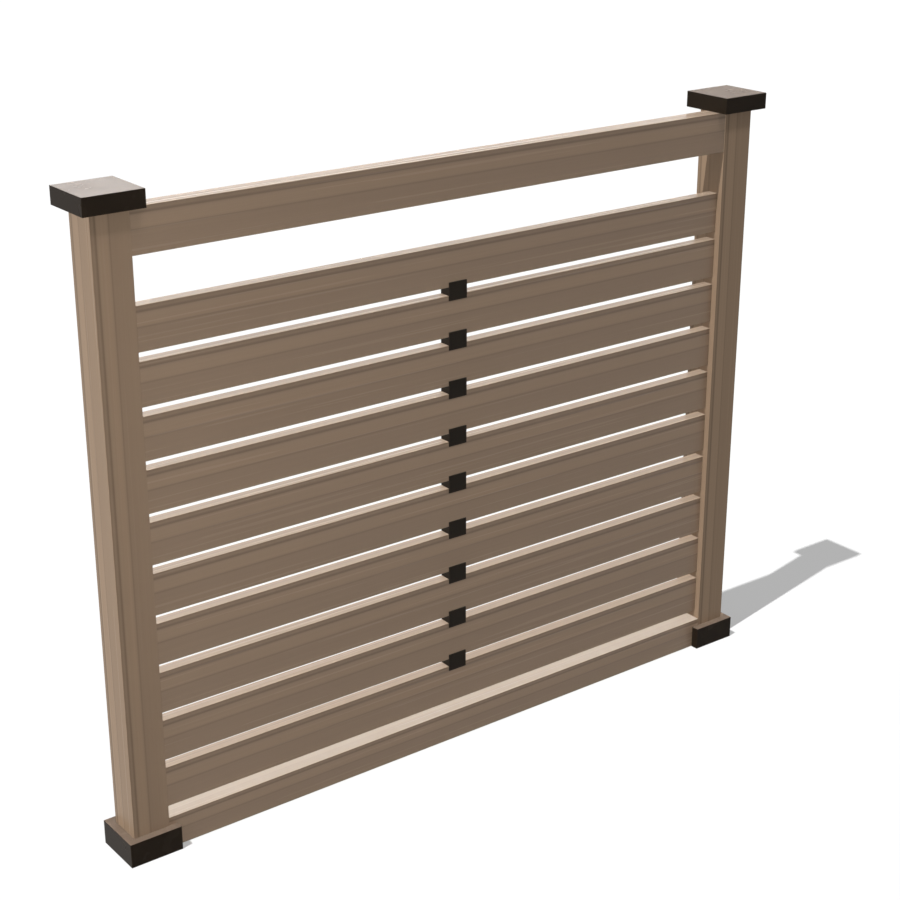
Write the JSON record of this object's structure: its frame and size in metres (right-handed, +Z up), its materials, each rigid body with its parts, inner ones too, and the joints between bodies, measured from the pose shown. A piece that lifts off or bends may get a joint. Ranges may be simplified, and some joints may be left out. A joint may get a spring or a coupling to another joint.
{
  "type": "garden privacy screen",
  "caption": "Free-standing slatted privacy screen: hollow wood-tone boards with even gaps between two square posts, with dark flat caps, base trims and mid-span spacers.",
  "frame": {"origin": "on the floor, midway between the two posts, on the centre plane of the posts", "axes": "+X along the screen to the viewer's right, +Y to the back, +Z up"},
  "size_m": [1.88, 0.139, 1.5179],
  "materials": {
    "wood_tone_board": "satin wood-tone film with fine streaks along the board",
    "wood_tone_post": "satin wood-tone film with fine streaks along the post",
    "dark_trim": "moulded dark brown, satin to semi-gloss",
    "moulded_black": "moulded brown-black, fine satin",
    "galvanised_steel": "hot-dip galvanised sheet",
    "coated_steel": "black powder coat"
  },
  "bodies": {
    "root": {"bottom_rail": "wood_tone_board", "bottom_rail_stiffener": "galvanised_steel", "top_rail": "wood_tone_board", "top_rail_stiffener": "galvanised_steel", "slat_01": "wood_tone_board", "slat_02": "wood_tone_board", "slat_03": "wood_tone_board", "slat_04": "wood_tone_board", "slat_05": "wood_tone_board", "slat_06": "wood_tone_board", "slat_07": "wood_tone_board", "slat_08": "wood_tone_board", "slat_09": "wood_tone_board", "slat_10": "wood_tone_board", "spacer_01": "moulded_black", "spacer_02": "moulded_black", "spacer_03": "moulded_black", "spacer_04": "moulded_black", "spacer_05": "moulded_black", "spacer_06": "moulded_black", "spacer_07": "moulded_black", "spacer_08": "moulded_black", "spacer_09": "moulded_black", "left_post": "wood_tone_post", "left_cap": "dark_trim", "left_base_trim": "dark_trim", "left_base_mount": "coated_steel", "left_lower_guide": "moulded_black", "left_upper_guide": "moulded_black", "right_post": "wood_tone_post", "right_cap": "dark_trim", "right_base_trim": "dark_trim", "right_base_mount": "coated_steel", "right_lower_guide": "moulded_black", "right_upper_guide": "moulded_black"}
  },
  "joints": []
}
